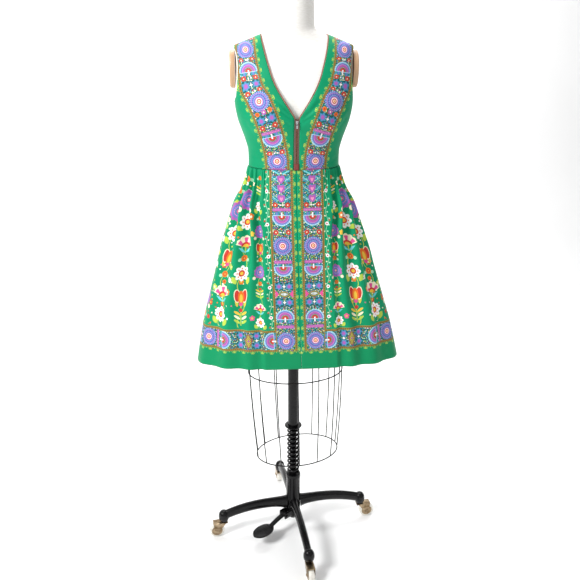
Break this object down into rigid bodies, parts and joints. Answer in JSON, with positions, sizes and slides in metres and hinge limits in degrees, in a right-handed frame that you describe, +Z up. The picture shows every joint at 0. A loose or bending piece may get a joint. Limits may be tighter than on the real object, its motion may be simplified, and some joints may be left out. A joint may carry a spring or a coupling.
{
  "type": "dirndl dress on a limbless dress form",
  "caption": "Sleeveless V-neck printed dress with front zip and side-pleated skirt, worn by a limbless dress form on a wheeled cast stand.",
  "frame": {"origin": "on the floor under the pole's axis, which is the centre of the part's box", "axes": "+Z up, the form faces -Y, +X is the wearer's left"},
  "size_m": [0.6712, 0.6194, 1.826],
  "materials": {
    "printed_cotton": "sateen print",
    "piping": "matte",
    "zip_tape": "matte",
    "zip_teeth": "worn",
    "zip_patch": "matte",
    "zip_slider": "polished",
    "form_linen": "matte",
    "arm_plate": "satin",
    "board": "matte",
    "black_iron": "gloss black",
    "caster_brass": "satin",
    "wheel_white": "satin"
  },
  "bodies": {
    "base": {"base_hub": "black_iron", "buffer_spring": "black_iron", "leg_front": "black_iron", "leg_left": "black_iron", "leg_back": "black_iron", "leg_right": "black_iron"},
    "column": {"pole": "black_iron", "pole_collar": "black_iron"},
    "form": {"bodice_front_left": "printed_cotton", "bodice_front_right": "printed_cotton", "bodice_back_left": "printed_cotton", "bodice_back_right": "printed_cotton", "skirt_front_left": "printed_cotton", "skirt_front_right": "printed_cotton", "skirt_back_left": "printed_cotton", "skirt_back_right": "printed_cotton", "neck_piping_front_left": "piping", "neck_piping_front_right": "piping", "neck_piping_back": "piping", "zip_tape_left": "zip_tape", "zip_tape_right": "zip_tape", "zip_chain": "zip_teeth", "zip_patch": "zip_patch", "zip_slider": "zip_slider", "form_torso": "form_linen", "form_arm_plate_left": "arm_plate", "form_arm_plate_right": "arm_plate", "form_board": "board", "form_cage": "black_iron"},
    "pull_tab": {"zip_pull_tab": "zip_slider"},
    "pedal": {"pedal": "black_iron"},
    "swivel_front": {"caster_fork_front": "caster_brass"},
    "wheel_front": {"wheel_front": "wheel_white"},
    "swivel_left": {"caster_fork_left": "caster_brass"},
    "wheel_left": {"wheel_left": "wheel_white"},
    "swivel_back": {"caster_fork_back": "caster_brass"},
    "wheel_back": {"wheel_back": "wheel_white"},
    "swivel_right": {"caster_fork_right": "caster_brass"},
    "wheel_right": {"wheel_right": "wheel_white"}
  },
  "joints": [
    {"name": "pole_height", "type": "slide", "parent": "base", "child": "column", "axis": [0, 0, 1], "range_m": [0, 0.1]},
    {"name": "form_turn", "type": "hinge", "parent": "column", "child": "form", "pos_m": [0, 0, 0.99], "axis": [0, 0, 1], "continuous": true},
    {"name": "pull_tab_lift", "type": "hinge", "parent": "form", "child": "pull_tab", "pos_m": [0, -0.11701, 1.4803], "axis": [-1, 0, 0], "range_deg": [0, 120]},
    {"name": "pedal_press", "type": "hinge", "parent": "base", "child": "pedal", "pos_m": [-0.035, -0.02666, 0.072], "axis": [0.606, -0.7955, 0], "range_deg": [0, 12], "stiffness_Nm_per_rad": 6, "springref_deg": -8.59},
    {"name": "swivel_front", "type": "hinge", "parent": "base", "child": "swivel_front", "pos_m": [0.03266, -0.25492, 0.0597], "axis": [0, 0, 1], "continuous": true},
    {"name": "roll_front", "type": "hinge", "parent": "swivel_front", "child": "wheel_front", "pos_m": [0.03609, -0.2817, 0.0275], "axis": [0.9919, 0.1271, 0], "continuous": true},
    {"name": "swivel_left", "type": "hinge", "parent": "base", "child": "swivel_left", "pos_m": [0.25492, 0.03266, 0.0597], "axis": [0, 0, 1], "continuous": true},
    {"name": "roll_left", "type": "hinge", "parent": "swivel_left", "child": "wheel_left", "pos_m": [0.2817, 0.03609, 0.0275], "axis": [-0.1271, 0.9919, 0], "continuous": true},
    {"name": "swivel_back", "type": "hinge", "parent": "base", "child": "swivel_back", "pos_m": [-0.03266, 0.25492, 0.0597], "axis": [0, 0, 1], "continuous": true},
    {"name": "roll_back", "type": "hinge", "parent": "swivel_back", "child": "wheel_back", "pos_m": [-0.03609, 0.2817, 0.0275], "axis": [-0.9919, -0.1271, 0], "continuous": true},
    {"name": "swivel_right", "type": "hinge", "parent": "base", "child": "swivel_right", "pos_m": [-0.25492, -0.03266, 0.0597], "axis": [0, 0, 1], "continuous": true},
    {"name": "roll_right", "type": "hinge", "parent": "swivel_right", "child": "wheel_right", "pos_m": [-0.2817, -0.03609, 0.0275], "axis": [0.1271, -0.9919, 0], "continuous": true}
  ]
}
